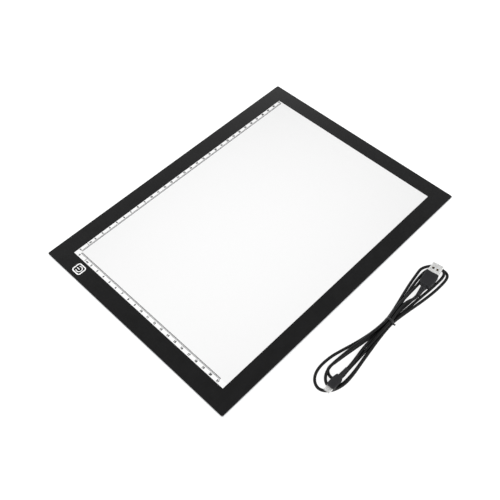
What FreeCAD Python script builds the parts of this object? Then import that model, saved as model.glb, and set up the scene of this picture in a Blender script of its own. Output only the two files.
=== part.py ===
import FreeCAD, Part
import math
import os

# An A4 LED light box (tracing pad) with its USB cable beside it, in millimetres.
# The origin is the middle of the underside, on the surface that the pad stands on.
# +X runs along the long side, away from the touch key; +Y runs towards the side that
# has the long ruler and the USB socket; +Z is up, through the drawing surface.

V = FreeCAD.Vector

# ---- driving dimensions of the pad ----
PAD_LENGTH = 358.0
PAD_DEPTH = 265.0
CORNER_RADIUS = 2.0
FOOT_HEIGHT = 0.8
BACK_THICKNESS = 0.8
FRAME_SPACE = 3.0
FRONT_THICKNESS = 1.2
TAPE_THICKNESS = 0.1
PRINT_THICKNESS = 0.05
BORDER_KEY_END = 20.0
BORDER_FAR_END = 19.0
BORDER_RULER_SIDE = 20.0
BORDER_NEAR_SIDE = 19.6

# ---- heights that follow from them ----
BACK_Z = FOOT_HEIGHT
INSIDE_Z = BACK_Z + BACK_THICKNESS
PANEL_Z = INSIDE_Z + FRAME_SPACE
TOP_Z = PANEL_Z + FRONT_THICKNESS
BORDER_TOP_Z = TOP_Z + PRINT_THICKNESS

# ---- plan positions of the pad ----
HALF_X = PAD_LENGTH / 2
HALF_Y = PAD_DEPTH / 2
WINDOW = (
    -HALF_X + BORDER_KEY_END,
    -HALF_Y + BORDER_NEAR_SIDE,
    HALF_X - BORDER_FAR_END,
    HALF_Y - BORDER_RULER_SIDE,
)
EDGE_CHAMFER = 0.25
FOOT_RADIUS = 6.0
FOOT_INSET = 17.0

# ---- light engine ----
GUIDE = (-161.5, -118.0, 165.0, 117.0)
POCKET = (-161.8, -118.3, 165.3, 118.9)
REFLECTOR_THICKNESS = 0.3
DIFFUSER_THICKNESS = 0.3
LED_COUNT = 48
LED_PITCH = 6.7
LED_WIDTH = 3.0
LED_DEPTH = 0.8
LED_HEIGHT = 1.4
STRIP_X = (-160.5, 163.0)
STRIP_Y = (118.0, 118.6)
STRIP_Z = (1.8, 4.3)

# ---- control electronics, in a bay of the frame under the touch key ----
BAY = (-177.0, 66.0, -163.3, 131.0)
BOARD = (-176.6, 68.0, -163.7, 130.6)
BOARD_THICKNESS = 0.8
CHIP_CENTRE = (-170.2, 112.5)
CHIP_SIZE = (3.9, 4.9, 1.5)
TRANSISTOR_CENTRE = (-170.2, 105.2)
TRANSISTOR_SIZE = (2.9, 1.6, 1.1)
INPUT_CAPACITOR_CENTRE = (-170.2, 121.5)
INPUT_CAPACITOR_SIZE = (3.2, 1.6, 1.4)
PASSIVE_ROWS_X = (-174.2, -166.2)
PASSIVES_PER_ROW = 4
FIRST_PASSIVE_Y = 104.0
PASSIVE_PITCH = 4.0
PASSIVE_SIZE = (1.25, 2.0, 0.6)
CONTACT_PAD_SIZE = (4.0, 4.0)
ELECTRODE_SIZE = (10.0, 12.0)
KEY_CENTRE = (-168.5, 91.6)
KEY_SIZE = (11.7, 12.1)
KEY_CORNER = 3.0
KEY_LINE = 1.25
POWER_RING_RADIUS = 3.35
POWER_LINE = 0.9
POWER_GAP_DEGREES = 95.0
POWER_BAR = (-0.7, 3.3)
SOCKET_X = -170.2
SOCKET_WIDTH = 7.5
SOCKET_HEIGHT = 2.5
SOCKET_DEPTH = 5.0
SOCKET_WALL = 0.3
SOCKET_Z = 3.1
SOCKET_RECESS = 0.3
SOCKET_CORNER = 0.5
SOCKET_TONGUE = (3.7, 0.65)
SOCKET_TONGUE_ROOT = 1.4
SOCKET_TONGUE_SETBACK = 0.5
MICRO_CONTACT_COUNT = 5
MICRO_CONTACT_PITCH = 0.65
MICRO_CONTACT_WIDTH = 0.35
SOCKET_CONTACT_THICKNESS = 0.1
WIRE_RADIUS = 0.4
WIRE_PITCH = 0.9

# ---- cable ----
CORD_DIAMETER = 3.0
CORD_RADIUS = CORD_DIAMETER / 2
TIE_POINT = (5.0, -180.0)
TIE_THICKNESS = 0.6
TIE_WIDTH = 3.0
BUNDLE_WIDTH = 9.2
BUNDLE_HEIGHT = 8.2
SINGLE_LAYER = 3.05
TIE_CLEARANCE = 0.1
TIE_TAIL_RADIUS = 0.8
TIE_TAIL_LENGTH = 5.0
USB_A_SHELL = (12.0, 12.0, 4.5)
USB_A_CORNER = 0.6
USB_A_HOLE_SIDE = 2.3
USB_A_HOLE_X = 4.15
USB_A_GRIP = (17.5, 14.0, 7.0)
USB_A_TAIL_WIDTH = 10.6
USB_A_TAPER_START = 11.5
USB_A_RELIEF = 13.5
USB_A_RELIEF_RADII = (3.0, 2.1)
USB_A_FRONT = V(78.1, -178.0, 7.7)
USB_A_YAW = 8.0
USB_A_PITCH = 3.6
MICRO_SHELL = (5.0, 6.85, 1.85)
MICRO_CORNER = 0.5
MICRO_GRIP = (15.0, 8.8, 6.4)
MICRO_TAIL_WIDTH = 6.8
MICRO_TAPER_START = 10.0
MICRO_RELIEF = 11.0
MICRO_RELIEF_RADII = (2.6, 1.95)
MICRO_FRONT = V(-89.8, -184.0, 6.3)
MICRO_YAW = 181.5
SHELL_WALL = 0.3
SHELL_IN_GRIP = 5.0
GRIP_CORNER = 1.6
GRIP_EDGE = 0.9
RELIEF_GROOVES = 4
RELIEF_GROOVE_WIDTH = 0.8
RELIEF_GROOVE_DEPTH = 0.3
CONTACT_THICKNESS = 0.15

parts = {}


def block(low, high):
    """A box between two opposite corners."""
    size = [b - a for a, b in zip(low, high)]
    return Part.makeBox(size[0], size[1], size[2], V(*low))


def slab(plan, z_low, z_high):
    """A box over a plan rectangle (x0, y0, x1, y1)."""
    return block((plan[0], plan[1], z_low), (plan[2], plan[3], z_high))


def grown(plan, margin):
    return (plan[0] - margin, plan[1] - margin, plan[2] + margin, plan[3] + margin)


def centred(centre, size):
    """The plan rectangle of a size about a centre."""
    half_x = size[0] / 2
    half_y = size[1] / 2
    return (centre[0] - half_x, centre[1] - half_y, centre[0] + half_x, centre[1] + half_y)


def rounded_edges(points, radius=None, closed=False):
    """Straight runs joined by tangent arcs, with the arcs' radii.

    Without a radius each arc is as large as its two runs allow: 0.45 of the shorter
    run, divided by the tangent of half the turn."""
    count = len(points)
    corners = range(count) if closed else range(1, count - 1)
    cuts = {}
    radii = []
    for i in corners:
        corner = points[i]
        before = points[i - 1] - corner
        after = points[(i + 1) % count] - corner
        half_turn = (math.pi - before.getAngle(after)) / 2
        reach = 0.45 * min(before.Length, after.Length)
        if radius is not None:
            reach = min(reach, radius * math.tan(half_turn))
        arc_radius = reach / math.tan(half_turn)
        inward = (before.normalize() + after.normalize()).normalize()
        middle = corner + inward * (arc_radius / math.cos(half_turn) - arc_radius)
        cuts[i] = (corner + before * reach, middle, corner + after * reach)
        radii.append(arc_radius)
    edges = []
    last = count if closed else count - 1
    for i in range(last):
        j = (i + 1) % count
        start = cuts[i][2] if i in cuts else points[i]
        end = cuts[j][0] if j in cuts else points[j]
        edges.append(Part.LineSegment(start, end).toShape())
        if j in cuts:
            edges.append(Part.Arc(*cuts[j]).toShape())
    return edges, radii


def prism(points, direction, radius=None):
    """A closed outline with rounded corners, pushed along a direction."""
    edges, _ = rounded_edges(points, radius, closed=True)
    return Part.Face(Part.Wire(edges)).extrude(direction)


def rounded_slab(plan, radius, z_low, z_high):
    x0, y0, x1, y1 = plan
    outline = [V(x0, y0, z_low), V(x1, y0, z_low), V(x1, y1, z_low), V(x0, y1, z_low)]
    return prism(outline, V(0, 0, z_high - z_low), radius)


def edges_at(shape, axis, values):
    """The edges that lie wholly in one of the planes axis = value."""
    found = []
    for edge in shape.Edges:
        levels = [getattr(vertex.Point, axis) for vertex in edge.Vertexes]
        if any(all(abs(level - value) < 1e-6 for level in levels) for value in values):
            found.append(edge)
    return found


def cord_tube(points):
    """A tube of the cord's diameter along a route; prints its radii and its volume."""
    edges, radii = rounded_edges(points)
    path = Part.Wire(edges)
    direction = points[1] - points[0]
    section = Part.Wire(Part.makeCircle(CORD_RADIUS, points[0], direction))
    tube = path.makePipeShell([section], True, False)
    expected = math.pi * CORD_RADIUS**2 * path.Length
    print("lead", round(path.Length, 1), "mm, radii", [round(r, 1) for r in radii])
    print("  volume", round(tube.Volume, 1), "section times length", round(expected, 1))
    return tube


PAD_PLAN = (-HALF_X, -HALF_Y, HALF_X, HALF_Y)


# ---- covers and prints ----
def make_front_panel():
    panel = rounded_slab(PAD_PLAN, CORNER_RADIUS, PANEL_Z, TOP_Z)
    return panel.makeChamfer(EDGE_CHAMFER, edges_at(panel, "z", [TOP_Z]))


def make_border_print():
    outline = grown(PAD_PLAN, -EDGE_CHAMFER)
    sheet = rounded_slab(outline, CORNER_RADIUS - EDGE_CHAMFER, TOP_Z, BORDER_TOP_Z)
    return sheet.cut(slab(WINDOW, TOP_Z, BORDER_TOP_Z))


def make_touch_key_print():
    """The key's rounded frame, and inside it a power ring with its bar."""
    top = BORDER_TOP_Z + PRINT_THICKNESS
    outer = centred(KEY_CENTRE, KEY_SIZE)
    frame = rounded_slab(outer, KEY_CORNER, BORDER_TOP_Z, top)
    hole = rounded_slab(grown(outer, -KEY_LINE), KEY_CORNER - KEY_LINE, BORDER_TOP_Z, top)
    base = V(KEY_CENTRE[0], KEY_CENTRE[1], BORDER_TOP_Z)
    sweep = 360.0 - POWER_GAP_DEGREES
    outside = Part.makeCylinder(
        POWER_RING_RADIUS + POWER_LINE / 2, PRINT_THICKNESS, base, V(0, 0, 1), sweep
    )
    inside = Part.makeCylinder(POWER_RING_RADIUS - POWER_LINE / 2, PRINT_THICKNESS, base)
    ring = outside.cut(inside)
    ring.rotate(base, V(0, 0, 1), 90.0 + POWER_GAP_DEGREES / 2)
    bar_plan = (
        base.x - POWER_LINE / 2,
        base.y + POWER_BAR[0],
        base.x + POWER_LINE / 2,
        base.y + POWER_BAR[1],
    )
    bar = slab(bar_plan, BORDER_TOP_Z, top)
    return Part.makeCompound([frame.cut(hole), ring, bar])


def make_rubber_feet():
    feet = []
    for x in (-HALF_X + FOOT_INSET, HALF_X - FOOT_INSET):
        for y in (-HALF_Y + FOOT_INSET, HALF_Y - FOOT_INSET):
            foot = Part.makeCylinder(FOOT_RADIUS, FOOT_HEIGHT, V(x, y, 0))
            feet.append(foot.makeChamfer(FOOT_HEIGHT / 4, edges_at(foot, "z", [0.0])))
    return Part.makeCompound(feet)


parts["front_panel"] = make_front_panel()
parts["border_print"] = make_border_print()
parts["touch_key_print"] = make_touch_key_print()
parts["back_cover"] = rounded_slab(PAD_PLAN, CORNER_RADIUS, BACK_Z, INSIDE_Z)
parts["rubber_feet"] = make_rubber_feet()

# ---- frame, open over the light guide, the bay, the socket and the wires ----
SOCKET_MOUTH_Y = HALF_Y - SOCKET_RECESS
SOCKET_CLEARANCE = 0.3
WIRE_SLOT_Y = (117.4, 119.6)
WIRE_Y = (STRIP_Y[0] + STRIP_Y[1]) / 2
WIRE_ON_BOARD = 2.5
socket_notch = (
    SOCKET_X - SOCKET_WIDTH / 2 - SOCKET_CLEARANCE,
    BAY[3],
    SOCKET_X + SOCKET_WIDTH / 2 + SOCKET_CLEARANCE,
    HALF_Y,
)
wire_slot = (BAY[2], WIRE_SLOT_Y[0], POCKET[0], WIRE_SLOT_Y[1])
frame_openings = [POCKET, BAY, socket_notch, wire_slot]


def make_framing(z_low, z_high, margin):
    """A layer of the pad's outline with the frame's openings, set back by a margin."""
    outline = grown(PAD_PLAN, -margin)
    layer = rounded_slab(outline, CORNER_RADIUS - margin, z_low, z_high)
    for opening in frame_openings:
        layer = layer.cut(slab(grown(opening, margin), z_low, z_high))
    return layer


TAPE_SETBACK = 0.4
frame_low = INSIDE_Z + TAPE_THICKNESS
frame_high = PANEL_Z - TAPE_THICKNESS
parts["mid_frame"] = make_framing(frame_low, frame_high, 0.0)
parts["back_adhesive"] = make_framing(INSIDE_Z, frame_low, TAPE_SETBACK)
parts["front_adhesive"] = make_framing(frame_high, PANEL_Z, TAPE_SETBACK)

# ---- light engine: reflector, light guide and diffuser, lit from the ruler side ----
guide_low = INSIDE_Z + REFLECTOR_THICKNESS
guide_high = PANEL_Z - DIFFUSER_THICKNESS
parts["reflector_sheet"] = slab(GUIDE, INSIDE_Z, guide_low)
parts["light_guide_plate"] = slab(GUIDE, guide_low, guide_high)
parts["diffuser_sheet"] = slab(GUIDE, guide_high, PANEL_Z)
parts["led_strip_board"] = block(
    (STRIP_X[0], STRIP_Y[0], STRIP_Z[0]), (STRIP_X[1], STRIP_Y[1], STRIP_Z[1])
)


def make_leds():
    middle_x = (STRIP_X[0] + STRIP_X[1]) / 2
    middle_z = (STRIP_Z[0] + STRIP_Z[1]) / 2
    first = middle_x - LED_PITCH * (LED_COUNT - 1) / 2
    leds = []
    for i in range(LED_COUNT):
        x = first + i * LED_PITCH
        low = (x - LED_WIDTH / 2, STRIP_Y[0] - LED_DEPTH, middle_z - LED_HEIGHT / 2)
        high = (x + LED_WIDTH / 2, STRIP_Y[0], middle_z + LED_HEIGHT / 2)
        leds.append(block(low, high))
    return Part.makeCompound(leds)


parts["leds"] = make_leds()

# ---- control board and what is on it ----
board_top = INSIDE_Z + BOARD_THICKNESS
board_notch = (
    SOCKET_X - SOCKET_WIDTH / 2,
    SOCKET_MOUTH_Y - SOCKET_DEPTH,
    SOCKET_X + SOCKET_WIDTH / 2,
    BOARD[3],
)
parts["control_board"] = slab(BOARD, INSIDE_Z, board_top).cut(
    slab(board_notch, INSIDE_Z, board_top)
)


def on_board(centre, size):
    """A component of a size (x, y, height) standing on the board."""
    return slab(centred(centre, size), board_top, board_top + size[2])


def make_passives():
    """Two rows of resistors and capacitors, and one larger input capacitor."""
    pieces = [on_board(INPUT_CAPACITOR_CENTRE, INPUT_CAPACITOR_SIZE)]
    for row_x in PASSIVE_ROWS_X:
        for step in range(PASSIVES_PER_ROW):
            y = FIRST_PASSIVE_Y + step * PASSIVE_PITCH
            pieces.append(on_board((row_x, y), PASSIVE_SIZE))
    return Part.makeCompound(pieces)


def make_led_wires():
    """The two leads from the board through the frame's slot to the strip's end."""
    start_x = BOARD[2] - WIRE_ON_BOARD
    length = STRIP_X[0] - start_x
    wires = []
    for i in range(2):
        start = V(start_x, WIRE_Y, board_top + WIRE_PITCH / 2 + i * WIRE_PITCH)
        wires.append(Part.makeCylinder(WIRE_RADIUS, length, start, V(1, 0, 0)))
    return Part.makeCompound(wires)


electrode_low = PANEL_Z - TAPE_THICKNESS
parts["touch_dimmer_chip"] = on_board(CHIP_CENTRE, CHIP_SIZE)
parts["led_switch_transistor"] = on_board(TRANSISTOR_CENTRE, TRANSISTOR_SIZE)
parts["board_passives"] = make_passives()
parts["touch_contact_pad"] = slab(
    centred(KEY_CENTRE, CONTACT_PAD_SIZE), board_top, electrode_low
)
parts["touch_electrode"] = slab(centred(KEY_CENTRE, ELECTRODE_SIZE), electrode_low, PANEL_Z)
parts["led_wires"] = make_led_wires()


# ---- micro-USB socket, its mouth in the long side ----
def socket_box(width, height, y_low, y_high, z_centre=SOCKET_Z):
    low = (SOCKET_X - width / 2, y_low, z_centre - height / 2)
    high = (SOCKET_X + width / 2, y_high, z_centre + height / 2)
    return block(low, high)


socket_back_y = SOCKET_MOUTH_Y - SOCKET_DEPTH
socket_inside = (SOCKET_WIDTH - 2 * SOCKET_WALL, SOCKET_HEIGHT - 2 * SOCKET_WALL)
tongue_root_y = socket_back_y + SOCKET_TONGUE_ROOT
tongue_tip_y = SOCKET_MOUTH_Y - SOCKET_TONGUE_SETBACK


def make_socket_shell():
    shell = socket_box(SOCKET_WIDTH, SOCKET_HEIGHT, socket_back_y, SOCKET_MOUTH_Y)
    along_y = [edge for edge in shell.Edges if abs(edge.tangentAt(0).y) > 0.9]
    shell = shell.makeFillet(SOCKET_CORNER, along_y)
    return shell.cut(socket_box(*socket_inside, socket_back_y, SOCKET_MOUTH_Y))


def make_socket_tongue():
    root = socket_box(*socket_inside, socket_back_y, tongue_root_y)
    tongue = socket_box(*SOCKET_TONGUE, tongue_root_y, tongue_tip_y)
    return root.fuse(tongue).removeSplitter()


def make_socket_contacts():
    """The contact strips under the tongue, which stop short of its tip."""
    thickness = SOCKET_CONTACT_THICKNESS
    strip_z = SOCKET_Z - SOCKET_TONGUE[1] / 2 - thickness / 2
    strip_end_y = tongue_tip_y - 0.4
    strips = []
    for i in range(MICRO_CONTACT_COUNT):
        strip = socket_box(MICRO_CONTACT_WIDTH, thickness, tongue_root_y, strip_end_y, strip_z)
        strip.translate(V((i - (MICRO_CONTACT_COUNT - 1) / 2) * MICRO_CONTACT_PITCH, 0, 0))
        strips.append(strip)
    return Part.makeCompound(strips)


parts["usb_socket_shell"] = make_socket_shell()
parts["usb_socket_tongue"] = make_socket_tongue()
parts["usb_socket_contacts"] = make_socket_contacts()


# ---- plugs, each made along +X with the front of its grip at the origin ----
def plug_box(x_low, x_high, width, height, z_centre=0.0):
    low = (x_low, -width / 2, z_centre - height / 2)
    high = (x_high, width / 2, z_centre + height / 2)
    return block(low, high)


def lengthwise(shape):
    return [edge for edge in shape.Edges if abs(edge.tangentAt(0).x) > 0.9]


def make_shell_tube(length, width, height, corner):
    """A drawn metal tube from inside the grip to the plug's open end."""
    outer = plug_box(-SHELL_IN_GRIP, length, width, height)
    inner = plug_box(-SHELL_IN_GRIP, length, width - 2 * SHELL_WALL, height - 2 * SHELL_WALL)
    outer = outer.makeFillet(corner, lengthwise(outer))
    inner = inner.makeFillet(corner - SHELL_WALL / 2, lengthwise(inner))
    return outer.cut(inner)


def make_grip(size, tail_width, taper_start, relief, relief_radii, shell):
    """A moulded grip with a narrowing tail and a grooved strain relief in one piece."""
    length, width, height = size
    half = width / 2
    low = -height / 2
    outline = [
        V(0, -half, low),
        V(0, half, low),
        V(-taper_start, half, low),
        V(-length, tail_width / 2, low),
        V(-length, -tail_width / 2, low),
        V(-taper_start, -half, low),
    ]
    body = prism(outline, V(0, 0, height), GRIP_CORNER)
    body = body.makeFillet(GRIP_EDGE, edges_at(body, "z", [low, -low]))
    root, tip = relief_radii
    overlap = 1.0
    cone = Part.makeCone(root, tip, relief + overlap, V(-length + overlap, 0, 0), V(-1, 0, 0))
    body = body.fuse(cone)
    pitch = relief / (RELIEF_GROOVES + 1)
    for i in range(1, RELIEF_GROOVES + 1):
        start = V(-length - i * pitch, 0, 0)
        radius = root + (tip - root) * (i * pitch + overlap) / (relief + overlap)
        core_radius = radius - RELIEF_GROOVE_DEPTH
        ring = Part.makeCylinder(root + 1, RELIEF_GROOVE_WIDTH, start, V(1, 0, 0))
        core = Part.makeCylinder(core_radius, RELIEF_GROOVE_WIDTH, start, V(1, 0, 0))
        body = body.cut(ring.cut(core))
    pocket = plug_box(-SHELL_IN_GRIP, 0, shell[1], shell[2])
    return body.cut(pocket).removeSplitter()


def make_strips(centres, width, x_low, x_high, z_low):
    """Contact strips of one width, side by side."""
    z_high = z_low + CONTACT_THICKNESS
    strips = []
    for y in centres:
        strips.append(block((x_low, y - width / 2, z_low), (x_high, y + width / 2, z_high)))
    return Part.makeCompound(strips)


def placed(shape, front, yaw, pitch):
    """A plug's piece turned to where the plug lies."""
    turn = FreeCAD.Rotation(V(0, 0, 1), yaw).multiply(FreeCAD.Rotation(V(0, 1, 0), -pitch))
    matrix = FreeCAD.Placement(front, turn).toMatrix()
    moved = shape.copy()
    moved.transformShape(matrix, True)
    return moved


def usb_a_pieces():
    length, width, height = USB_A_SHELL
    shell = make_shell_tube(length, width, height, USB_A_CORNER)
    hole_side = USB_A_HOLE_SIDE
    for y in (-hole_side, hole_side):
        low = (USB_A_HOLE_X, y - hole_side / 2, -height)
        high = (USB_A_HOLE_X + hole_side, y + hole_side / 2, height)
        shell = shell.cut(block(low, high))
    clearance = 0.2
    half_width = width / 2 - SHELL_WALL - clearance
    half_height = height / 2 - SHELL_WALL - clearance
    root_end = 0.5
    root = plug_box(-SHELL_IN_GRIP, root_end, 2 * half_width, 2 * half_height)
    tongue = block((root_end, -half_width, -half_height), (length - 0.6, half_width, 0))
    grip = make_grip(
        USB_A_GRIP, USB_A_TAIL_WIDTH, USB_A_TAPER_START, USB_A_RELIEF, USB_A_RELIEF_RADII, USB_A_SHELL
    )
    return {
        "usb_a_shell": shell,
        "usb_a_insulator": root.fuse(tongue).removeSplitter(),
        "usb_a_contacts": make_strips((-3.5, -1.0, 1.0, 3.5), 1.0, 3.0, length - 1.6, 0.0),
        "usb_a_grip": grip,
    }


def micro_usb_pieces():
    length, width, height = MICRO_SHELL
    shell = make_shell_tube(length, width, height, MICRO_CORNER)
    half_width = width / 2 - SHELL_WALL
    root_end = 0.5
    root = plug_box(-SHELL_IN_GRIP, root_end, 2 * half_width - 0.5, height - 2 * SHELL_WALL - 0.1)
    tongue_low = 0.2
    tongue = block(
        (root_end, -half_width + 0.4, tongue_low), (length - 0.4, half_width - 0.4, 0.6)
    )
    middle = (MICRO_CONTACT_COUNT - 1) / 2
    rows = [(i - middle) * MICRO_CONTACT_PITCH for i in range(MICRO_CONTACT_COUNT)]
    contact_low = tongue_low - CONTACT_THICKNESS
    hook_width = 0.6
    hooks = []
    for y in (-2.1, 2.1):
        near = y - hook_width / 2
        side = [V(2.6, near, height / 2), V(4.2, near, height / 2), V(2.9, near, height / 2 + 0.4)]
        hooks.append(Part.Face(Part.makePolygon(side + side[:1])).extrude(V(0, hook_width, 0)))
    grip = make_grip(
        MICRO_GRIP, MICRO_TAIL_WIDTH, MICRO_TAPER_START, MICRO_RELIEF, MICRO_RELIEF_RADII, MICRO_SHELL
    )
    return {
        "micro_usb_shell": shell,
        "micro_usb_insulator": root.fuse(tongue).removeSplitter(),
        "micro_usb_contacts": make_strips(rows, MICRO_CONTACT_WIDTH, 1.0, length - 0.8, contact_low),
        "micro_usb_latches": Part.makeCompound(hooks),
        "micro_usb_grip": grip,
    }


for name, shape in usb_a_pieces().items():
    parts[name] = placed(shape, USB_A_FRONT, USB_A_YAW, USB_A_PITCH)
for name, shape in micro_usb_pieces().items():
    parts[name] = placed(shape, MICRO_FRONT, MICRO_YAW, 0.0)


# ---- the cord: seven passes in a flat hank, tied at its waist, with a short lead to each plug ----
def behind_plug(front, yaw, pitch, distance):
    """The point on a plug's axis at a distance behind the front of its grip."""
    turn = FreeCAD.Rotation(V(0, 0, 1), yaw).multiply(FreeCAD.Rotation(V(0, 1, 0), -pitch))
    return front + turn.multVec(V(-distance, 0, 0))


def make_usb_a_lead():
    tail = USB_A_GRIP[0] + USB_A_RELIEF
    start = behind_plug(USB_A_FRONT, USB_A_YAW, USB_A_PITCH, tail)
    bend = behind_plug(USB_A_FRONT, USB_A_YAW, USB_A_PITCH, tail + 7.0)
    return cord_tube([start, bend, V(28.0, -182.6, 6.1), V(14.0, -181.7, 7.0)])


def make_micro_usb_lead():
    tail = MICRO_GRIP[0] + MICRO_RELIEF
    start = behind_plug(MICRO_FRONT, MICRO_YAW, 0.0, tail)
    bend = behind_plug(MICRO_FRONT, MICRO_YAW, 0.0, tail + 8.0)
    return cord_tube([start, bend, V(-43.0, -181.9, 5.6), V(-31.0, -180.9, 4.9)])


HANK_PLAN = [
    V(5.0, -176.5, 0),
    V(33.0, -170.6, 0),
    V(60.0, -165.2, 0),
    V(82.0, -161.6, 0),
    V(94.5, -165.5, 0),
    V(98.0, -177.0, 0),
    V(96.5, -189.0, 0),
    V(84.0, -194.2, 0),
    V(60.0, -192.8, 0),
    V(33.0, -188.4, 0),
    V(5.0, -183.5, 0),
    V(-27.0, -188.2, 0),
    V(-51.0, -191.8, 0),
    V(-76.0, -193.8, 0),
    V(-91.0, -189.5, 0),
    V(-98.5, -178.0, 0),
    V(-96.5, -165.5, 0),
    V(-82.0, -159.2, 0),
    V(-51.0, -162.6, 0),
    V(-27.0, -169.2, 0),
]
TIE_X = (TIE_POINT[0] - TIE_WIDTH / 2, TIE_POINT[0] + TIE_WIDTH / 2)
WAIST_BOTTOM = TIE_THICKNESS + TIE_CLEARANCE / 2
WAIST_TOP = WAIST_BOTTOM + BUNDLE_HEIGHT
CROSSING_TOP = 6.0


def make_cable_hank():
    """The hank's outer shape: its plan, as high as its strands lie along it."""
    band = (TIE_X[0] - 0.2, TIE_X[1] + 0.2)
    end = 100.0
    heights = [
        V(-end, 0, 0),
        V(band[0], 0, 0),
        V(band[0], 0, WAIST_BOTTOM),
        V(band[1], 0, WAIST_BOTTOM),
        V(band[1], 0, 0),
        V(end, 0, 0),
        V(end, 0, CROSSING_TOP),
        V(89.0, 0, CROSSING_TOP),
        V(79.0, 0, SINGLE_LAYER),
        V(55.0, 0, SINGLE_LAYER),
        V(47.0, 0, 3.4),
        V(14.0, 0, WAIST_TOP),
        V(-4.0, 0, WAIST_TOP),
        V(-38.0, 0, 3.6),
        V(-48.0, 0, SINGLE_LAYER),
        V(-end, 0, SINGLE_LAYER),
    ]
    y_low = -200.0
    y_high = -150.0
    side = Part.Face(Part.makePolygon([V(p.x, y_low, p.z) for p in heights + heights[:1]]))
    profile = side.extrude(V(0, y_high - y_low, 0))
    return prism(HANK_PLAN, V(0, 0, WAIST_TOP)).common(profile).removeSplitter()


def make_twist_tie():
    """A flat band round the waist of the hank, with its twisted tail."""
    half = BUNDLE_WIDTH / 2 + TIE_CLEARANCE
    inner_radius = 3.0
    loops = []
    for margin in (TIE_THICKNESS, 0.0):
        low = TIE_THICKNESS - margin
        high = WAIST_TOP + TIE_CLEARANCE + margin
        left = TIE_POINT[1] + half + margin
        right = TIE_POINT[1] - half - margin
        outline = [V(TIE_X[0], right, low), V(TIE_X[0], left, low)]
        outline += [V(TIE_X[0], left, high), V(TIE_X[0], right, high)]
        loops.append(prism(outline, V(TIE_WIDTH, 0, 0), inner_radius + margin))
    tail_start = V(TIE_POINT[0], TIE_POINT[1] - half - TIE_THICKNESS / 2, BUNDLE_HEIGHT / 2)
    tail = Part.makeCylinder(TIE_TAIL_RADIUS, TIE_TAIL_LENGTH, tail_start, V(0.5, -0.8, -0.3))
    return loops[0].fuse(tail).cut(loops[1]).removeSplitter()


parts["usb_a_lead"] = make_usb_a_lead()
parts["micro_usb_lead"] = make_micro_usb_lead()
parts["cable_hank"] = make_cable_hank()
parts["twist_tie"] = make_twist_tie()

os.makedirs("parts", exist_ok=True)
for name, shape in parts.items():
    print(name, len(shape.Solids), "solid(s)", round(shape.Volume, 2), "mm3", shape.isValid())
    shape.exportStep("parts/" + name + ".step")
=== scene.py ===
import math

import bmesh
import bpy
import numpy as np
from mathutils import Matrix, Quaternion, Vector


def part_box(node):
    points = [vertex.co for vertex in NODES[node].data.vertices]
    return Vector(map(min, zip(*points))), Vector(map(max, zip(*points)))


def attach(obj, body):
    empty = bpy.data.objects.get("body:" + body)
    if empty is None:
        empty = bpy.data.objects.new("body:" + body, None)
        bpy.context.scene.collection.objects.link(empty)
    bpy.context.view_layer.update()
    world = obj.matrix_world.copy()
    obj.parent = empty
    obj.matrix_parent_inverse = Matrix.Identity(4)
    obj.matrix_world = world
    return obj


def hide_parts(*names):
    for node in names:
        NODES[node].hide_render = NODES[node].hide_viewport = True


# The looks of an A4 light box and its tied USB cable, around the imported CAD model.
# Everything is in metres in the CAD frame; MM turns millimetres into metres.

MM = 0.001
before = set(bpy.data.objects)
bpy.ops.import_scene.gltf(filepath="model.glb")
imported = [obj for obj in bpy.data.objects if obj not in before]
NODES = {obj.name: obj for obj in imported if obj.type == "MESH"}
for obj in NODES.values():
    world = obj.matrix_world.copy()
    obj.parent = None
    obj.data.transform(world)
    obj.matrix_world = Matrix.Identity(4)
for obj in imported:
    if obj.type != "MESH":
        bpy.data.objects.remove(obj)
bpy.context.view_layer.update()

PAD_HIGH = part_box("front_panel")[1]
WINDOW_Z = PAD_HIGH.z


# ---- camera: its roll is in degrees, its lens and sensor are in millimetres ----
CAMERA_PLACE = Vector((-0.33503, -0.33715, 0.61935))
CAMERA_AIM = Vector((-0.02532, -0.01762, 0.0))
CAMERA_ROLL = -1.95
CAMERA_LENS = 51.45
CAMERA_SENSOR = 36.0
CAMERA_NEAREST = 0.05
CAMERA_FARTHEST = 50.0


def make_camera():
    data = bpy.data.cameras.new("camera")
    data.sensor_width = CAMERA_SENSOR
    data.lens = CAMERA_LENS
    data.clip_start = CAMERA_NEAREST
    data.clip_end = CAMERA_FARTHEST
    camera = bpy.data.objects.new("camera", data)
    bpy.context.scene.collection.objects.link(camera)
    level = (CAMERA_AIM - CAMERA_PLACE).to_track_quat("-Z", "Y")
    camera.rotation_mode = "QUATERNION"
    camera.rotation_quaternion = level @ Quaternion((0, 0, 1), math.radians(CAMERA_ROLL))
    camera.location = CAMERA_PLACE
    bpy.context.scene.camera = camera


make_camera()


# ---- the cord: one spline from the USB-A relief, through the hank, to the micro-USB relief ----
CORD_DIAMETER = 3.0 * MM
CORD_RADIUS = CORD_DIAMETER / 2
CORD_STEPS = 10
CORD_ROUNDNESS = 5
TIE_X = 5.0 * MM
TIE_Y = -180.0 * MM
TIE_LIFT = 0.65 * MM

# where the seven passes lie in the tie: two, three and two strands, bottom to top, lifted by so
# much that the tie's band fits under them
ROW_STEP = CORD_DIAMETER * math.sin(math.radians(60))
ROW_Z = [TIE_LIFT + CORD_RADIUS + i * ROW_STEP for i in range(3)]
MIDDLE_PASS = 7
PASSES = {
    1: (-0.5 * CORD_DIAMETER, ROW_Z[2]),
    2: (0.5 * CORD_DIAMETER, ROW_Z[0]),
    3: (-CORD_DIAMETER, ROW_Z[1]),
    4: (CORD_DIAMETER, ROW_Z[1]),
    5: (-0.5 * CORD_DIAMETER, ROW_Z[0]),
    6: (0.5 * CORD_DIAMETER, ROW_Z[2]),
    MIDDLE_PASS: (0.0, ROW_Z[1]),
}

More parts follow.
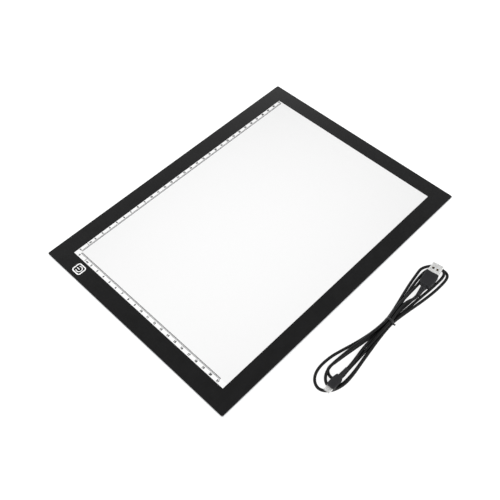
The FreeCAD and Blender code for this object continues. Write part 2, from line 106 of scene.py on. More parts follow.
# each loop in millimetres: where its legs' ends lie in y and how far the legs bow towards +y on
# the way; how much higher than on the table a leg's end lies, where it rests on another strand;
# how far from the tie the loop folds, the fold's half width, how far the fold reaches on, and how
# much further out its left end starts than its middle; and upper_a's fold, which crosses over
# upper_b's, has its heights from left to right
LOOPS = {
    "upper_a": dict(
        legs={"left": (-164.6, 0.2), "right": (-185.9, 0.3)},
        start=75, half=11.0, reach=10.9, skew=-4.0,
        heights=(1.6, 3.0, 4.6, 4.6, 3.2),
    ),
    "upper_b": dict(
        legs={"left": (-169.9, 0.6), "right": (-191.7, -0.6)},
        start=76, half=10.3, reach=11.5, skew=-3.5,
    ),
    "upper_c": dict(
        legs={"left": (-172.4, 1.6), "right": (-182.6, 0.8)},
        start=66, half=7.0, reach=7.8, skew=-0.2,
    ),
    "lower_a": dict(
        legs={"left": (-160.4, -2.2), "right": (-191.8, 1.2)},
        lift={"right": 2.9},
        start=78, half=14.3, reach=22.6, skew=1.5,
    ),
    "lower_b": dict(
        legs={"left": (-169.7, 0.4), "right": (-191.1, 0.5)},
        lift={"left": 2.9},
        start=76, half=10.2, reach=16.6, skew=-1.5,
    ),
    "lower_c": dict(
        legs={"left": (-168.8, -0.9), "right": (-182.7, 0.4)},
        start=76, half=7.7, reach=8.8, skew=0.0,
    ),
}
# (pass, side of the tie, loop, leg that it leaves on, next pass)
ORDER = [
    (1, -1, "lower_c", "right", 2),
    (2, 1, "upper_b", "left", 3),
    (3, -1, "lower_a", "right", 4),
    (4, 1, "upper_a", "left", 5),
    (5, -1, "lower_b", "right", 6),
    (6, 1, "upper_c", "left", MIDDLE_PASS),
]

# a leg's points, as shares of its length; the share of its spread that is even, the rest being
# slower at both ends; and its way down: how far from the tie it starts, how much later for each
# metre that the strand is higher in the tie, and how long it is
LEG_STATIONS = (0.16, 0.34, 0.53, 0.71, 0.88)
EVEN_SPREAD = 0.25
FALL_START = 8 * MM
FALL_DELAY = 2
FALL_LENGTH = 44 * MM

# a fold's points in degrees from its left end to its right one, and how much larger than the fold
# they lie, because the spline cuts inside them; how many degrees a lifted leg takes to come down,
# and how many of that leg's outer points stay put
FOLD_ANGLES = (15, 50, 90, 130, 165)
FOLD_TURN = 180
FOLD_SWELL = 1.06
LIFT_ANGLE = 90
LIFTED_POINTS = 2

# the cord's way from the USB-A relief to the tie, and from the tie to the micro-USB relief, in
# millimetres; at a relief it runs along the plug's axis
USB_A_ROUTE = [
    (47.46, -182.31, 5.75),
    (43.6, -182.6, 5.5),
    (35.5, -178.7, 5.9),
    (25.0, -177.6, 6.4),
    (14.5, -179.5, 7.2),
]
MICRO_ROUTE = [
    (-11.0, -180.1, 4.6),
    (-21.0, -180.4, 4.6),
    (-31.0, -180.9, 4.9),
    (-43.0, -181.9, 5.6),
    (-55.81, -183.11, 6.3),
    (-63.81, -183.32, 6.3),
]


def in_metres(places):
    return [[c * MM for c in place] for place in places]


def smooth(t):
    t = min(max(t, 0.0), 1.0)
    return t * t * (3 - 2 * t)


def tie_point(number):
    dy, z = PASSES[number]
    return [TIE_X, TIE_Y + dy, z]


def leg(number, side, loop, which):
    """From the tie outwards: the strand spreads towards its leg and comes down to rest."""
    tie_x, start_y, tie_z = tie_point(number)
    end_y, bow = loop["legs"][which]
    end_z = CORD_RADIUS + loop.get("lift", {}).get(which, 0.0) * MM
    length = loop["start"] * MM
    later = FALL_DELAY * (tie_z - ROW_Z[0])
    points = []
    for share in LEG_STATIONS:
        spread = EVEN_SPREAD * share + (1 - EVEN_SPREAD) * smooth(share)
        aside = 4 * bow * share * (1 - share) * MM
        fall = smooth((share * length - FALL_START - later) / FALL_LENGTH)
        points.append([
            tie_x + side * share * length,
            start_y + (end_y * MM - start_y) * spread + aside,
            tie_z + (end_z - tie_z) * fall,
        ])
    return points


def fold_height(loop, index):
    """How high one of the fold's points lies: as a lifted leg brings it in, or as it is given."""
    if "heights" in loop:
        return loop["heights"][index] * MM
    lift = loop.get("lift", {})
    degrees = FOLD_ANGLES[index]
    near_left = max(0.0, 1 - degrees / LIFT_ANGLE)
    near_right = max(0.0, 1 - (FOLD_TURN - degrees) / LIFT_ANGLE)
    raised = lift.get("left", 0.0) * near_left + lift.get("right", 0.0) * near_right
    return CORD_RADIUS + raised * MM


def fold(side, loop):
    """Round the end of a loop, from its left leg to its right one."""
    middle_y = (loop["legs"]["left"][0] + loop["legs"]["right"][0]) / 2
    points = []
    for index, degrees in enumerate(FOLD_ANGLES):
        angle = math.radians(degrees)
        out = loop["reach"] * FOLD_SWELL * math.sin(angle) + loop["skew"] * math.cos(angle)
        across = loop["half"] * FOLD_SWELL * math.cos(angle)
        x = TIE_X + side * (loop["start"] + out) * MM
        points.append([x, (middle_y + across) * MM, fold_height(loop, index)])
    return points


def hank_route():
    """The whole cord's points before it settles, and the indices of those that stay put."""
    points = in_metres(USB_A_ROUTE)
    held = [0, 1, len(points)]
    points.append(tie_point(1))
    for number, side, name, leaves_on, following in ORDER:
        loop = LOOPS[name]
        lifted = loop.get("lift", {})
        comes_on = "left" if leaves_on == "right" else "right"
        turn = fold(side, loop)
        if leaves_on == "right":
            turn.reverse()
        points += leg(number, side, loop, leaves_on)
        if leaves_on in lifted:
            held += range(len(points) - LIFTED_POINTS, len(points))
        points += turn
        if comes_on in lifted:
            held += range(len(points), len(points) + LIFTED_POINTS)
        points += reversed(leg(following, side, loop, comes_on))
        held.append(len(points))
        points.append(tie_point(following))
    points += in_metres(MICRO_ROUTE)
    held += [len(points) - 2, len(points) - 1]
    return np.array(points), held


JUST_INSIDE = 1e-9


def spline_weights(count, per_span):
    """Each sample's weights on the control points of a quadratic spline that meets its ends."""
    spans = count - 2
    knots = np.concatenate([[0, 0, 0], np.arange(1, spans), [spans] * 3]).astype(float)
    u = np.linspace(0, spans, per_span * spans + 1)[:, None]
    u = np.minimum(u, spans - JUST_INSIDE)
    weights = ((knots[:-1] <= u) & (u < knots[1:])).astype(float)
    for order in (1, 2):
        rising = knots[order:-1] - knots[: -order - 1]
        falling = knots[order + 1 :] - knots[1:-order]
        up = (u - knots[: -order - 1]) / np.where(rising > 0, rising, 1.0)
        down = (knots[order + 1 :] - u) / np.where(falling > 0, falling, 1.0)
        weights = up * weights[:, :-1] + down * weights[:, 1:]
    return weights


# how the cord settles: samples in each span of the spline; rounds in all, and the last ones, in
# which strands are only pushed apart; how often close strands are looked for, how close they are,
# and how far apart along the cord; how strongly a point follows its samples' pushes and how far
# in a round; how strongly it keeps its bend in x, y and z; and how far it sinks in a round
SAMPLES_PER_SPAN = 6
SETTLE_ROUNDS = 240
CALM_ROUNDS = 40
SEARCH_EVERY = 10
SEARCH_REACH = 2 * CORD_DIAMETER
SAME_STRETCH = 10 * MM
PUSH_GAIN = 2
LONGEST_PUSH = 0.5 * MM
SMALLEST_DISTANCE = 1e-6
STIFFNESS = np.array([0.08, 0.08, 0.05])
SINK = 0.02 * MM


def bends(points):
    """How far each point but the two ends is from the middle of its neighbours."""
    bend = np.zeros_like(points)
    bend[1:-1] = (points[:-2] + points[2:]) / 2 - points[1:-1]
    return bend


def close_samples(line):
    """The pairs of samples that are close to each other, but not along the cord."""
    along = np.concatenate([[0], np.cumsum(np.linalg.norm(np.diff(line, axis=0), axis=1))])
    apart = np.linalg.norm(line[:, None] - line[None], axis=2)
    return np.nonzero((apart < SEARCH_REACH) & (along[None] - along[:, None] > SAME_STRETCH))


def pushes(line, first, second):
    """Each sample's mean move away from the samples that it overlaps, by half of each overlap."""
    gap = line[first] - line[second]
    distance = np.linalg.norm(gap, axis=1)
    hit = distance < CORD_DIAMETER
    distance = np.maximum(distance[hit], SMALLEST_DISTANCE)
    shove = gap[hit] * ((CORD_DIAMETER / distance - 1) / 2)[:, None]
    push = np.zeros_like(line)
    count = np.zeros(len(line))
    for ends, sign in ((first[hit], 1), (second[hit], -1)):
        np.add.at(push, ends, sign * shove)
        np.add.at(count, ends, 1)
    return push / np.maximum(count, 1)[:, None]


def settled(points, held):
    """The strands pushed apart where they overlap, sinking under their weight to the table."""
    weights = spline_weights(len(points), SAMPLES_PER_SPAN)
    free = np.ones(len(points), bool)
    free[held] = False
    rest_bends = bends(points)
    for step in range(SETTLE_ROUNDS):
        line = weights @ points
        if step % SEARCH_EVERY == 0:
            first, second = close_samples(line)
        push = pushes(line, first, second)
        move = PUSH_GAIN * (weights.T @ push) / weights.sum(0)[:, None]
        points[free] += np.clip(move, -LONGEST_PUSH, LONGEST_PUSH)[free]
        if step < SETTLE_ROUNDS - CALM_ROUNDS:
            points[free] += ((bends(points) - rest_bends) * STIFFNESS)[free]
            points[free, 2] -= SINK
        points[:, 2] = np.maximum(points[:, 2], CORD_RADIUS)
    return points


def make_cord():
    """A NURBS curve of order 3, which is the quadratic spline that settles; each of its points
    has the cord's radius."""
    points, held = hank_route()
    points = settled(points, held)
    data = bpy.data.curves.new("usb_cord", "CURVE")
    data.dimensions = "3D"
    data.resolution_u = CORD_STEPS
    data.bevel_depth = 1.0
    data.bevel_resolution = CORD_ROUNDNESS
    data.use_fill_caps = True
    spline = data.splines.new("NURBS")
    spline.points.add(len(points) - 1)
    for control, place in zip(spline.points, points):
        control.co = (*place, 1.0)
        control.radius = CORD_RADIUS
    spline.order_u = 3
    spline.use_endpoint_u = True
    cord = bpy.data.objects.new("usb_cord", data)
    bpy.context.scene.collection.objects.link(cord)
    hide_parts("usb_a_lead", "micro_usb_lead", "cable_hank")
    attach(cord, "usb_cable")
    return cord


cord = make_cord()


# ---- materials ----
WHITE = (1.0, 1.0, 1.0, 1.0)
NOISE_RANGE = (0.3, 0.7)
UNSTRETCHED = (1.0, 1.0, 1.0)


def add_node(tree, kind, settings=None, **inputs):
    """A node with its settings and its inputs, by name or as i0, i1 and so on by number; an input
    is a value or another node's socket."""
    node = tree.nodes.new(kind)
    for key, value in (settings or {}).items():
        setattr(node, key, value)
    for key, value in inputs.items():
        by_number = key[0] == "i" and key[1:].isdigit()
        socket = node.inputs[int(key[1:]) if by_number else key.replace("_", " ")]
        if isinstance(value, bpy.types.NodeSocket):
            tree.links.new(value, socket)
        else:
            socket.default_value = value
    return node


def new_material(name):
    material = bpy.data.materials.new(name)
    material.use_nodes = True
    tree = material.node_tree
    tree.nodes.clear()
    return material, tree


def place_of(tree):
    return tree.nodes.new("ShaderNodeTexCoord").outputs["Object"]


def noise(tree, size, detail=2.0, stretch=UNSTRETCHED):
    """Noise with features of a size in metres, from 0 to 1."""
    mapping = add_node(tree, "ShaderNodeMapping", Vector=place_of(tree), Scale=stretch)
    texture = add_node(
        tree, "ShaderNodeTexNoise", Vector=mapping.outputs[0], Scale=1 / size, Detail=detail,
        Roughness=0.5,
    )
    return texture.outputs[0]


def spread(tree, value, low, high):
    """A noise value mapped to a range."""
    node = add_node(
        tree, "ShaderNodeMapRange", i0=value, i1=NOISE_RANGE[0], i2=NOISE_RANGE[1], i3=low, i4=high
    )
    return node.outputs[0]


# the mix node's sockets for colours, by number
MIX_FIRST = 6
MIX_SECOND = 7
MIX_RESULT = 2


def mix_colour(tree, factor, first, second):
    """From a first colour, as a value or a socket, to a second one."""
    node = add_node(tree, "ShaderNodeMix", {"data_type": "RGBA"}, i0=factor)
    for index, value in ((MIX_FIRST, first), (MIX_SECOND, second)):
        if isinstance(value, bpy.types.NodeSocket):
            tree.links.new(value, node.inputs[index])
        else:
            node.inputs[index].default_value = (*value, 1.0)
    return node.outputs[MIX_RESULT]


def arithmetic(tree, operation, first, second):
    node = add_node(tree, "ShaderNodeMath", {"operation": operation}, i0=first, i1=second)
    return node.outputs[0]


def finish_material(material, tree, shader, height, depth):
    """Connects a principled shader, with a bump of a depth in metres."""
    bump = add_node(tree, "ShaderNodeBump", Height=height, Distance=depth, Strength=1.0)
    tree.links.new(bump.outputs[0], shader.inputs["Normal"])
    output = tree.nodes.new("ShaderNodeOutputMaterial")
    tree.links.new(shader.outputs[0], output.inputs[0])
    return material


# a moulded surface's slow changes are this many grains wide; its roughness varies by this much
SLOW_GRAINS = 25
MOULDED_ROUGHNESS = (0.85, 1.15)


def moulded(name, colour, roughness, grain, depth, variation=0.12, metallic=0.0, specular=0.5):
    """A surface with a fine grain, and slow changes of colour and roughness."""
    material, tree = new_material(name)
    slow = noise(tree, SLOW_GRAINS * grain, detail=3.0)
    fine = noise(tree, grain)
    dark = tuple(c * (1 - variation) for c in colour)
    light = tuple(min(1.0, c * (1 + variation)) for c in colour)
    tint = mix_colour(tree, spread(tree, slow, 0.0, 1.0), dark, light)
    smoothest = roughness * MOULDED_ROUGHNESS[0]
    roughest = min(1.0, roughness * MOULDED_ROUGHNESS[1])
    shader = add_node(
        tree, "ShaderNodeBsdfPrincipled",
        Base_Color=tint,
        Roughness=spread(tree, fine, smoothest, roughest),
        Metallic=metallic,
        Specular_IOR_Level=specular,
    )
    return finish_material(material, tree, shader, fine, depth)


# drawn metal's lines are stretched along X; its smudges are this many grains wide and this dark
DRAWN_ALONG_X = (0.08, 1.0, 1.0)
SMUDGE_GRAINS = 40
SMUDGE = 0.9
BRUSHED_ROUGHNESS = (0.8, 1.3)
BRUSHED_DEPTH = 0.003 * MM


def brushed(name, colour, roughness, grain):
    """Plated sheet metal with fine drawing lines along X and faint smudges."""
    material, tree = new_material(name)
    lines = noise(tree, grain, detail=3.0, stretch=DRAWN_ALONG_X)
    smudge = noise(tree, SMUDGE_GRAINS * grain)
    smudged = tuple(c * SMUDGE for c in colour)
    low, high = BRUSHED_ROUGHNESS
    shader = add_node(
        tree, "ShaderNodeBsdfPrincipled",
        Base_Color=mix_colour(tree, spread(tree, smudge, 0.0, 1.0), smudged, colour),
        Roughness=spread(tree, lines, roughness * low, roughness * high),
        Metallic=1.0,
    )
    return finish_material(material, tree, shader, lines, BRUSHED_DEPTH)


# the window is brightest left of its middle and a little dimmer towards its ends, by so much for
# each square metre of distance; part of its brightness is the studio's light, reflected
GLOW_CENTRE = (-50 * MM, -10 * MM)
GLOW_PEAK = 0.965
GLOW_FALL = 1.5
GLOW_FALL_ACROSS = 2.0
REFLECTED_SHARE = 0.672
RULER_STRIP_GLOW = 0.05
DOT_SIZE = 1.2 * MM
DOT_GLOW = (0.99, 1.01)
FACES_UP = 0.9
OPAL_COLOURS = ((0.5, 0.5, 0.5), (0.53, 0.53, 0.53))
OPAL_ROUGHNESS = 0.45
OPAL_SPECULAR = 0.3
OPAL_GRAIN = 0.3 * MM
OPAL_DEPTH = 0.004 * MM
# the panel's sides: a darker grey, partly the acrylic edge's own grey and partly painted shade for
# the shade on the side wall's upper band
SHADED_EDGE_COLOUR = (0.24, 0.245, 0.25)


def window_glow(tree, strip_x, strip_y):
    """How strongly the window glows, with a little more in the strips outside the rulers' lines."""
    place = add_node(tree, "ShaderNodeSeparateXYZ", i0=place_of(tree))
    x = arithmetic(tree, "SUBTRACT", place.outputs[0], GLOW_CENTRE[0])
    y = arithmetic(tree, "SUBTRACT", place.outputs[1], GLOW_CENTRE[1])
    x_squared = arithmetic(tree, "MULTIPLY", x, x)
    y_squared = arithmetic(tree, "MULTIPLY", y, y)
    away = arithmetic(
        tree, "ADD", x_squared, arithmetic(tree, "MULTIPLY", y_squared, GLOW_FALL_ACROSS)
    )
    fall = arithmetic(tree, "MULTIPLY", away, GLOW_FALL)
    glow = arithmetic(tree, "SUBTRACT", GLOW_PEAK - REFLECTED_SHARE, fall)
    in_strip = arithmetic(
        tree, "MAXIMUM",
        arithmetic(tree, "LESS_THAN", place.outputs[0], strip_x),
        arithmetic(tree, "GREATER_THAN", place.outputs[1], strip_y),
    )
    extra = arithmetic(tree, "MULTIPLY", in_strip, RULER_STRIP_GLOW)
    glow = arithmetic(tree, "ADD", glow, extra)
    dots = noise(tree, DOT_SIZE, detail=1.0)
    return arithmetic(tree, "MULTIPLY", glow, spread(tree, dots, *DOT_GLOW))


def is_top(tree):
    """1 on faces that look up, 0 on the others."""
    geometry = tree.nodes.new("ShaderNodeNewGeometry")
    normal = add_node(tree, "ShaderNodeSeparateXYZ", i0=geometry.outputs["Normal"])
    return arithmetic(tree, "GREATER_THAN", normal.outputs[2], FACES_UP)


def lit_panel(strip_x, strip_y):
    """Opal acrylic that glows on its top face only; its sides are a darker grey, partly the edge's
    own grey and partly painted shade.
    """
    material, tree = new_material("lit_acrylic")
    top = is_top(tree)
    fine = noise(tree, OPAL_GRAIN)
    opal = mix_colour(tree, spread(tree, fine, 0.0, 1.0), *OPAL_COLOURS)
    shader = add_node(
        tree, "ShaderNodeBsdfPrincipled",
        Base_Color=mix_colour(tree, top, SHADED_EDGE_COLOUR, opal),
        Roughness=OPAL_ROUGHNESS,
        Specular_IOR_Level=OPAL_SPECULAR,
        Emission_Color=WHITE,
        Emission_Strength=arithmetic(tree, "MULTIPLY", window_glow(tree, strip_x, strip_y), top),
    )
    return finish_material(material, tree, shader, fine, OPAL_DEPTH)


def dress(material, slot_name, *node_names):
    """Gives CAD nodes a material."""
    for name in node_names:
        data = NODES[name].data
        data.materials.clear()
        data.materials.append(material)


# ---- rulers: their layout, from the pad's corner at low x and high y ----
CM = 10 * MM
HALF_LENGTH = PAD_HIGH.x
HALF_DEPTH = PAD_HIGH.y
LONG_ZERO_X = -HALF_LENGTH + 27.2 * MM
LONG_LINE_Y = HALF_DEPTH - 25.0 * MM
LONG_NUMBER_Y = HALF_DEPTH - 21.9 * MM
LONG_CENTIMETRES = 31
SHORT_ZERO_Y = HALF_DEPTH - 26.6 * MM
SHORT_LINE_X = -HALF_LENGTH + 25.7 * MM
SHORT_NUMBER_X = -HALF_LENGTH + 22.1 * MM
SHORT_CENTIMETRES = 21
LINE_WIDTH = 0.4 * MM
TICK_WIDTH = 0.5 * MM
TICK_LENGTHS = {"mm": 1.5 * MM, "half": 1.6 * MM, "cm": 1.7 * MM}
CORNER_CUT = 1.4 * MM
INK_THICKNESS = 0.02 * MM
INK_Z = WINDOW_Z + INK_THICKNESS / 2
NUMBER_SIZE = 3.0 * MM
UNIT_SIZE = 2.6 * MM
UNIT_OFFSET = 3.3 * MM
BOLD = 0.07
CURVE_STEPS = 4


def add_plate(mesh, x_low, x_high, y_low, y_high):
    """A thin rectangle of ink on the window."""
    centre = Vector(((x_low + x_high) / 2, (y_low + y_high) / 2, INK_Z))
    size = Vector((x_high - x_low, y_high - y_low, INK_THICKNESS))
    shape = Matrix.Translation(centre) @ Matrix.Diagonal(size).to_4x4()
    bmesh.ops.create_cube(mesh, size=1.0, matrix=shape)


def add_text(mesh, text, size, place, turn):
    """A word or number in ink on the window, centred on a place."""
    data = bpy.data.curves.new("ink_text", "FONT")
    data.body = text
    data.size = size
    data.align_x = "CENTER"
    data.align_y = "CENTER"
    data.extrude = INK_THICKNESS / 2
    data.offset = BOLD * size
    data.resolution_u = CURVE_STEPS
    writer = bpy.data.objects.new("ink_text", data)
    flat = bpy.data.meshes.new_from_object(writer)
    flat.transform(Matrix.Translation(place) @ Matrix.Rotation(turn, 4, "Z"))
    mesh.from_mesh(flat)
    bpy.data.objects.remove(writer)
    bpy.data.curves.remove(data)
    bpy.data.meshes.remove(flat)


def finish_piece(mesh, name, material, body):
    """A bmesh made into a piece that rides on a body."""
    data = bpy.data.meshes.new(name)
    mesh.to_mesh(data)
    mesh.free()
    data.materials.append(material)
    piece = bpy.data.objects.new(name, data)
    bpy.context.scene.collection.objects.link(piece)
    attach(piece, body)
    return piece


def tick_length(millimetre):
    if millimetre % 10 == 0:
        return TICK_LENGTHS["cm"]
    if millimetre % 5 == 0:
        return TICK_LENGTHS["half"]
    return TICK_LENGTHS["mm"]


def make_long_marks(ink):
    """The long ruler's line and its millimetre marks, which stand on the line towards +Y."""
    marks = bmesh.new()
    half = TICK_WIDTH / 2
    start = SHORT_LINE_X + CORNER_CUT
    end = LONG_ZERO_X + LONG_CENTIMETRES * CM + half
    add_plate(marks, start, end, LONG_LINE_Y - LINE_WIDTH, LONG_LINE_Y)
    for i in range(10 * LONG_CENTIMETRES + 1):
        x = LONG_ZERO_X + i * MM
        add_plate(marks, x - half, x + half, LONG_LINE_Y, LONG_LINE_Y + tick_length(i))
    finish_piece(marks, "long_ruler_marks", ink, "pad")


def make_short_marks(ink):
    """The short ruler's line and its millimetre marks, which stand on the line towards -X."""
    marks = bmesh.new()
    half = TICK_WIDTH / 2
    start = LONG_LINE_Y - CORNER_CUT
    end = SHORT_ZERO_Y - SHORT_CENTIMETRES * CM - half
    add_plate(marks, SHORT_LINE_X, SHORT_LINE_X + LINE_WIDTH, end, start)
    for i in range(10 * SHORT_CENTIMETRES + 1):
        y = SHORT_ZERO_Y - i * MM
        add_plate(marks, SHORT_LINE_X - tick_length(i), SHORT_LINE_X, y - half, y + half)
    finish_piece(marks, "short_ruler_marks", ink, "pad")


def make_numbers(name, ink, count, zero, way, turn):
    """A ruler's numbers from zero on, one for each centimetre, with the unit after the 1."""
    numbers = bmesh.new()
    for i in range(count + 1):
        place = Vector((zero[0] + way[0] * i * CM, zero[1] + way[1] * i * CM, INK_Z))
        add_text(numbers, str(i), NUMBER_SIZE, place, turn)
        if i == 1:
            beside = Vector((way[0] * UNIT_OFFSET, way[1] * UNIT_OFFSET, 0))
            add_text(numbers, "cm", UNIT_SIZE, place + beside, turn)
    finish_piece(numbers, name, ink, "pad")


def make_rulers(ink):
    long_zero = (LONG_ZERO_X, LONG_NUMBER_Y)
    short_zero = (SHORT_NUMBER_X, SHORT_ZERO_Y)
    make_long_marks(ink)
    make_short_marks(ink)
    make_numbers("long_ruler_numbers", ink, LONG_CENTIMETRES, long_zero, (1, 0), 0.0)
    make_numbers("short_ruler_numbers", ink, SHORT_CENTIMETRES, short_zero, (0, -1), -math.pi / 2)


# ---- the twist tie: a flat band round the seven strands, with a twisted tail ----
BAND_WIDTH = 3.0 * MM
BAND_THICKNESS = 0.45 * MM
BAND_CORE = 0.35 * MM
BAND_GAP = 0.02 * MM
# the band's section: how far across it, and how far out from the strands
BAND_PROFILE = [
    (-0.5 * BAND_WIDTH, 0.3 * BAND_THICKNESS),
    (-0.4 * BAND_WIDTH, 0.6 * BAND_THICKNESS),
    (-BAND_CORE, 0.6 * BAND_THICKNESS),
    (0.0, BAND_THICKNESS),
    (BAND_CORE, 0.6 * BAND_THICKNESS),
    (0.4 * BAND_WIDTH, 0.6 * BAND_THICKNESS),
    (0.5 * BAND_WIDTH, 0.3 * BAND_THICKNESS),
    (0.4 * BAND_WIDTH, 0.0),
    (-0.4 * BAND_WIDTH, 0.0),
]
# the band goes round each outer strand in steps of so many degrees, so many to either side
BAND_STEP = 10
BAND_STEPS = 3

# the tail is the band's two ends, twisted round each other
TAIL_ROOT = Vector((TIE_X, TIE_Y - 1.5 * CORD_DIAMETER - 0.2 * MM, 0.5 * ROW_Z[1] + 2.6 * MM))
TAIL_ALONG = Vector((0.35, -0.86, -0.36)).normalized()
TAIL_LENGTH = 2.2 * MM
TAIL_TURNS = 0.8
TAIL_RINGS = 25
TAIL_CORNERS = 8
# in millimetres: half of the way between the two, and half of the width and thickness of each
TAIL_HALF_APART = 0.4
TAIL_HALF_WIDTH = 0.9
TAIL_HALF_THICKNESS = 0.25


def band_line():
    """Points round the outside of the bundle at the tie, in its plane, and their outward normals."""
    centre = Vector((TIE_Y, ROW_Z[1]))
    outer = [
        Vector((TIE_Y + dy, z)) for number, (dy, z) in PASSES.items() if number != MIDDLE_PASS
    ]
    outer.sort(key=lambda p: math.atan2(p.y - centre.y, p.x - centre.x))
    line = []
    for corner in outer:
        angle = math.atan2(corner.y - centre.y, corner.x - centre.x)
        for step in range(-BAND_STEPS, BAND_STEPS + 1):
            turned = angle + math.radians(BAND_STEP * step)
            normal = Vector((math.cos(turned), math.sin(turned)))
            line.append((corner + normal * CORD_RADIUS, normal))
    return line


def bridge(mesh, ring, following):
    """Faces between two rings of as many points."""
    count = len(ring)
    for j in range(count):
        k = (j + 1) % count
        mesh.faces.new((ring[j], ring[k], following[k], following[j]))


def add_band(mesh):
    """The band's profile, carried round the bundle."""
    rings = []
    for point, normal in band_line():
        ring = []
        for across, out in BAND_PROFILE:
            place = point + normal * (out + BAND_GAP)
            ring.append(mesh.verts.new((TIE_X + across, place.x, place.y)))
        rings.append(ring)
    for ring, following in zip(rings, rings[1:] + rings[:1]):
        bridge(mesh, ring, following)


def add_tail_strand(mesh, phase):
    """One of the tail's two flat strands, which starts at an angle round the tail's axis."""
    sideways = TAIL_ALONG.cross(Vector((0, 0, 1))).normalized()
    above = sideways.cross(TAIL_ALONG)
    rings = []
    for step in range(TAIL_RINGS):
        share = step / (TAIL_RINGS - 1)
        angle = phase + share * TAIL_TURNS * 2 * math.pi
        quarter_on = angle + math.pi / 2
        thick = sideways * math.cos(angle) + above * math.sin(angle)
        wide = sideways * math.cos(quarter_on) + above * math.sin(quarter_on)
        middle = TAIL_ROOT + TAIL_ALONG * (share * TAIL_LENGTH)
        middle = middle + thick * TAIL_HALF_APART * MM
        ring = []
        for corner in range(TAIL_CORNERS):
            turned = 2 * math.pi * corner / TAIL_CORNERS
            offset = wide * math.cos(turned) * TAIL_HALF_WIDTH * MM
            offset = offset + thick * math.sin(turned) * TAIL_HALF_THICKNESS * MM
            ring.append(mesh.verts.new(middle + offset))
        rings.append(ring)
    for ring, following in zip(rings, rings[1:]):
        bridge(mesh, ring, following)
    mesh.faces.new(reversed(rings[0]))
    mesh.faces.new(rings[-1])


def make_tie(material):
    mesh = bmesh.new()
    add_band(mesh)
    add_tail_strand(mesh, 0.0)
    add_tail_strand(mesh, math.pi)
    bmesh.ops.recalc_face_normals(mesh, faces=mesh.faces)
    for face in mesh.faces:
        face.smooth = True
    tie = finish_piece(mesh, "twist_tie_band", material, "usb_cable")
    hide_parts("twist_tie")
    return tie


# ---- the looks: name, colour, roughness, size of the grain and depth of the grain ----
border_ink = moulded(
    "border_ink", (0.005, 0.005, 0.0052), 0.2, 0.35 * MM, 0.001 * MM, variation=0.2, specular=0.35
)
key_ink = moulded("key_ink", (0.85, 0.85, 0.85), 0.5, 0.3 * MM, 0.003 * MM, variation=0.04)
case_plastic = moulded(
    "case_plastic", (0.74, 0.745, 0.75), 0.55, 0.5 * MM, 0.02 * MM, variation=0.04
)
foot_rubber = moulded("foot_rubber", (0.03, 0.03, 0.031), 0.8, 0.4 * MM, 0.02 * MM)
tape = moulded("tape", (0.8, 0.8, 0.76), 0.7, 0.6 * MM, 0.01 * MM, variation=0.05)
reflector_film = moulded(
    "reflector_film", (0.9, 0.9, 0.9), 0.35, 0.8 * MM, 0.004 * MM, variation=0.03
)
diffuser_film = moulded(
    "diffuser_film", (0.88, 0.88, 0.88), 0.7, 0.3 * MM, 0.01 * MM, variation=0.03
)
guide_acrylic = moulded(
    "guide_acrylic", (0.8, 0.86, 0.88), 0.08, 2.0 * MM, 0.002 * MM, variation=0.03
)
strip_board = moulded("strip_board", (0.8, 0.8, 0.77), 0.4, 0.5 * MM, 0.005 * MM, variation=0.05)
led_package = moulded("led_package", (0.85, 0.68, 0.2), 0.45, 0.3 * MM, 0.004 * MM)
circuit_board = moulded(
    "circuit_board", (0.01, 0.1, 0.035), 0.35, 0.8 * MM, 0.01 * MM, variation=0.3
)
chip_plastic = moulded("chip_plastic", (0.012, 0.012, 0.013), 0.6, 0.15 * MM, 0.008 * MM)
ceramic = moulded("ceramic", (0.3, 0.2, 0.12), 0.5, 0.2 * MM, 0.005 * MM)
conductive_rubber = moulded("conductive_rubber", (0.03, 0.03, 0.033), 0.85, 0.3 * MM, 0.05 * MM)
copper_foil = moulded("copper_foil", (0.72, 0.4, 0.24), 0.3, 0.6 * MM, 0.004 * MM, metallic=1.0)
wire_insulation = moulded("wire_insulation", (0.45, 0.015, 0.012), 0.4, 0.4 * MM, 0.004 * MM)
contact_carrier = moulded("contact_carrier", (0.012, 0.012, 0.012), 0.5, 0.2 * MM, 0.005 * MM)
gold_contact = brushed("gold_contact", (0.85, 0.6, 0.25), 0.25, 0.08 * MM)
plated_steel = brushed("plated_steel", (0.84, 0.84, 0.83), 0.45, 0.1 * MM)
grip_plastic = moulded(
    "grip_plastic", (0.012, 0.012, 0.0135), 0.5, 0.25 * MM, 0.02 * MM, variation=0.2, specular=0.25
)
cord_jacket = moulded(
    "cord_jacket", (0.0022, 0.0022, 0.0024), 0.42, 0.8 * MM, 0.01 * MM, variation=0.25,
    specular=0.22,
)
tie_plastic = moulded("tie_plastic", (0.007, 0.007, 0.0075), 0.45, 0.3 * MM, 0.01 * MM, specular=0.35)
lit_acrylic = lit_panel(SHORT_LINE_X, LONG_LINE_Y)

# ---- dressing the parts: the look, the slot and the CAD nodes ----
dress(lit_acrylic, "panel_acrylic", "front_panel")
dress(border_ink, "border_ink", "border_print")
dress(key_ink, "key_ink", "touch_key_print")
dress(case_plastic, "case_plastic", "back_cover", "mid_frame")
dress(foot_rubber, "foot_rubber", "rubber_feet")
dress(tape, "tape", "back_adhesive", "front_adhesive")
dress(reflector_film, "reflector_film", "reflector_sheet")
dress(guide_acrylic, "guide_acrylic", "light_guide_plate")
dress(diffuser_film, "diffuser_film", "diffuser_sheet")
dress(strip_board, "strip_board", "led_strip_board")
dress(led_package, "led_package", "leds")
dress(circuit_board, "circuit_board", "control_board")
dress(chip_plastic, "chip_plastic", "touch_dimmer_chip", "led_switch_transistor")
dress(ceramic, "ceramic", "board_passives")
dress(conductive_rubber, "conductive_rubber", "touch_contact_pad")
dress(copper_foil, "copper_foil", "touch_electrode")
dress(wire_insulation, "wire_insulation", "led_wires")
dress(
    plated_steel, "plated_steel", "usb_socket_shell", "usb_a_shell", "micro_usb_shell",
    "micro_usb_latches",
)
dress(
    contact_carrier, "contact_carrier", "usb_socket_tongue", "usb_a_insulator",
    "micro_usb_insulator",
)
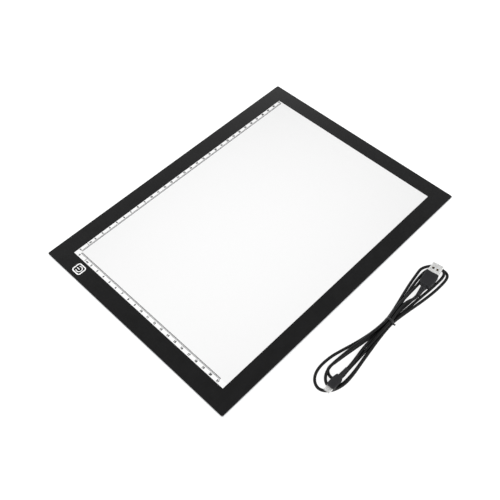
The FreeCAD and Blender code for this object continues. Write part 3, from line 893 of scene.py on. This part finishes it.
dress(
    gold_contact, "gold_contact", "usb_socket_contacts", "usb_a_contacts", "micro_usb_contacts"
)
dress(grip_plastic, "grip_plastic", "usb_a_grip", "micro_usb_grip")
cord.data.materials.append(cord_jacket)
make_rulers(border_ink)
tie = make_tie(tie_plastic)


# ---- table and light ----
TABLE_HALF_SIDE = 6.0
TABLE_COLOUR = (0.3, 0.3, 0.3)
TABLE_GLOW = 0.8


def make_table():
    """A pale table that is mostly its own light, so that almost no shadow shows on it."""
    mesh = bmesh.new()
    bmesh.ops.create_grid(mesh, x_segments=1, y_segments=1, size=TABLE_HALF_SIDE)
    data = bpy.data.meshes.new("table")
    mesh.to_mesh(data)
    mesh.free()
    paper = moulded("table_paper", TABLE_COLOUR, 0.8, 2 * MM, 0.0, variation=0.01, specular=0.1)
    shader = paper.node_tree.nodes["Principled BSDF"]
    shader.inputs["Emission Color"].default_value = WHITE
    shader.inputs["Emission Strength"].default_value = TABLE_GLOW
    data.materials.append(paper)
    table = bpy.data.objects.new("table", data)
    bpy.context.scene.collection.objects.link(table)


# the studio's brightness by how far a direction is from the ceiling's dark middle (its cosine)
CEILING_TILT = (0.24, 0.16, 0.96)
STUDIO_LIGHT = [(0.55, 1.0), (0.78, 1.9), (0.82, 1.9), (0.87, 0.32)]
BRIGHTEST = 2.0


def make_world():
    """A pale studio: bright walls all round, brightest high up, and a dim ceiling."""
    world = bpy.data.worlds.new("studio")
    bpy.context.scene.world = world
    world.use_nodes = True
    tree = world.node_tree
    tree.nodes.clear()
    direction = tree.nodes.new("ShaderNodeTexCoord").outputs["Generated"]
    nearness = add_node(
        tree, "ShaderNodeVectorMath", {"operation": "DOT_PRODUCT"}, i0=direction, i1=CEILING_TILT
    )
    ramp = add_node(tree, "ShaderNodeValToRGB", i0=nearness.outputs["Value"])
    stops = ramp.color_ramp.elements
    while len(stops) < len(STUDIO_LIGHT):
        stops.new(1.0)
    for stop, (place, light) in zip(stops, STUDIO_LIGHT):
        grey = light / BRIGHTEST
        stop.position = place
        stop.color = (grey, grey, grey, 1.0)
    background = add_node(tree, "ShaderNodeBackground", Color=ramp.outputs[0], Strength=BRIGHTEST)
    output = tree.nodes.new("ShaderNodeOutputWorld")
    tree.links.new(background.outputs[0], output.inputs[0])


# a sun, so only the direction of its place counts; its spread is in degrees
KEY_PLACE = (-0.8, -1.2, 1.9)
KEY_STRENGTH = 1.1
KEY_SPREAD = 35


def make_key_light():
    """A soft light from the camera's side, even over the whole table."""
    data = bpy.data.lights.new("key_light", "SUN")
    data.energy = KEY_STRENGTH
    data.angle = math.radians(KEY_SPREAD)
    lamp = bpy.data.objects.new("key_light", data)
    bpy.context.scene.collection.objects.link(lamp)
    lamp.location = KEY_PLACE
    lamp.rotation_mode = "QUATERNION"
    lamp.rotation_quaternion = (-Vector(KEY_PLACE)).to_track_quat("-Z", "Y")


make_table()
make_world()
make_key_light()
bpy.context.scene.view_settings.view_transform = "Standard"
